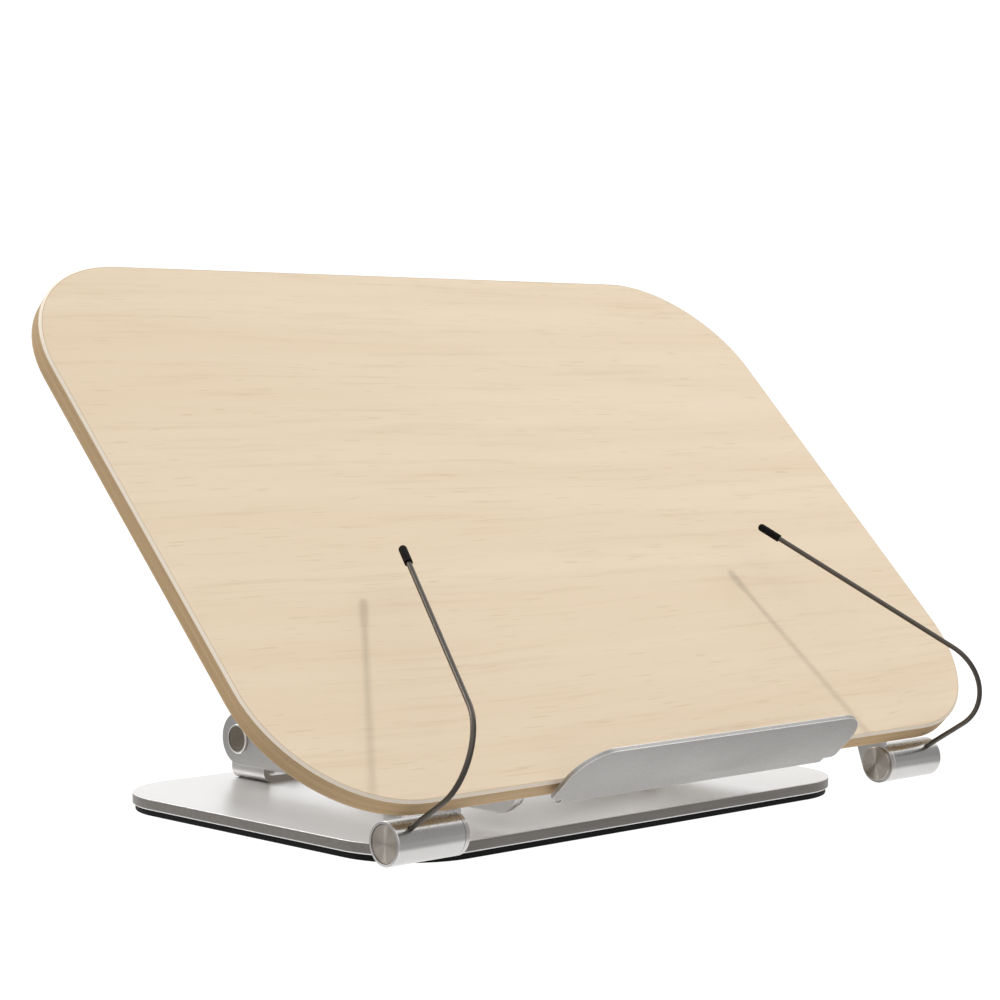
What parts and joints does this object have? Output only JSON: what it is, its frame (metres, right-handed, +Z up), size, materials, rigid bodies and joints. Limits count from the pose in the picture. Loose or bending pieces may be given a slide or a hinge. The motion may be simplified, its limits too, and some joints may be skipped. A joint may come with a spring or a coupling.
{
  "type": "book display stand",
  "caption": "Folding tabletop book stand with a rounded veneered board on a two-stage hinge, a weighted base, a metal book ledge and sprung page clips.",
  "frame": {"origin": "centre of the base's underside, where the rubber mat meets the table", "axes": "+Z up, +X along the board's width to the reader's right, -Y towards the reader"},
  "size_m": [0.34, 0.2066, 0.1899],
  "materials": {
    "base_steel": "fine satin silver lacquer on a steel plate, grey on its edge, with a bright lower bevel",
    "rubber": "matte black, fine moulded grain",
    "hinge_steel": "satin, fine lengthwise brushing, lighter along bends and edges",
    "ledge_steel": "satin, fine bead-blasted look, polished along its rim",
    "pin_chrome": "turned, bright rim round a darker dished face",
    "washer_plastic": "black acetal, matte",
    "fastener_steel": "bright zinc-plated, lightly turned",
    "board_ply": "sanded, thin brown layers seen along the edge, matte",
    "maple_veneer": "fine straight pale grain across the board, satin lacquer",
    "clip_bracket_steel": "satin, lighter along its edges",
    "barrel_aluminium": "satin turned, lighter along its edges",
    "cap_aluminium": "face turned, with a fan-shaped sheen round its centre",
    "wire_steel": "dark spring steel, lightly burnished"
  },
  "bodies": {
    "root": {"base_plate": "base_steel", "base_mat": "rubber", "base_bracket_left": "hinge_steel", "base_bracket_right": "hinge_steel", "base_bracket_screws": "fastener_steel", "link_pads": "rubber", "rear_pin_left": "pin_chrome", "rear_pin_right": "pin_chrome", "rear_spring_washer_left": "fastener_steel", "rear_spring_washer_right": "fastener_steel", "rear_lock_nut_left": "fastener_steel", "rear_lock_nut_right": "fastener_steel"},
    "arms": {"arm_link_left": "hinge_steel", "arm_link_right": "hinge_steel", "cross_bar_front": "hinge_steel", "cross_bar_rear": "hinge_steel", "cross_bar_screws": "fastener_steel", "rear_friction_washer_left": "washer_plastic", "rear_friction_washer_right": "washer_plastic", "front_friction_washer_left": "washer_plastic", "front_friction_washer_right": "washer_plastic"},
    "board": {"board_core": "board_ply", "board_back_veneer": "maple_veneer", "board_front_veneer": "maple_veneer", "board_bracket_left": "hinge_steel", "board_bracket_right": "hinge_steel", "board_bracket_screws": "fastener_steel", "front_pin_left": "pin_chrome", "front_pin_right": "pin_chrome", "front_spring_washer_left": "fastener_steel", "front_spring_washer_right": "fastener_steel", "front_lock_nut_left": "fastener_steel", "front_lock_nut_right": "fastener_steel", "ledge": "ledge_steel", "ledge_screws": "fastener_steel", "clip_bracket_left": "clip_bracket_steel", "clip_bracket_right": "clip_bracket_steel", "clip_bracket_screws": "fastener_steel", "clip_spring_left": "wire_steel", "clip_spring_right": "wire_steel"},
    "clip_left": {"clip_barrel_left": "barrel_aluminium", "clip_plug_left": "barrel_aluminium", "clip_end_cap_left": "cap_aluminium", "clip_pivot_left": "cap_aluminium", "clip_wire_left": "wire_steel", "clip_sleeve_left": "rubber"},
    "clip_right": {"clip_barrel_right": "barrel_aluminium", "clip_plug_right": "barrel_aluminium", "clip_end_cap_right": "cap_aluminium", "clip_pivot_right": "cap_aluminium", "clip_wire_right": "wire_steel", "clip_sleeve_right": "rubber"}
  },
  "joints": [
    {"name": "arm_lift", "type": "hinge", "parent": "root", "child": "arms", "pos_m": [0, 0.0636, 0.0212], "axis": [-1, 0, 0], "range_deg": [0, 45]},
    {"name": "board_tilt", "type": "hinge", "parent": "arms", "child": "board", "pos_m": [0, -0.0729, 0.0212], "axis": [1, 0, 0], "range_deg": [-45.5, 14.5]},
    {"name": "clip_left_swing", "type": "hinge", "parent": "board", "child": "clip_left", "pos_m": [0, -0.09538, 0.01287], "axis": [1, 0, 0], "range_deg": [-7, 60], "stiffness_Nm_per_rad": 0.15, "springref_deg": -60.16},
    {"name": "clip_right_swing", "type": "hinge", "parent": "board", "child": "clip_right", "pos_m": [0, -0.09538, 0.01287], "axis": [1, 0, 0], "range_deg": [-7, 60], "stiffness_Nm_per_rad": 0.15, "springref_deg": -60.16}
  ]
}
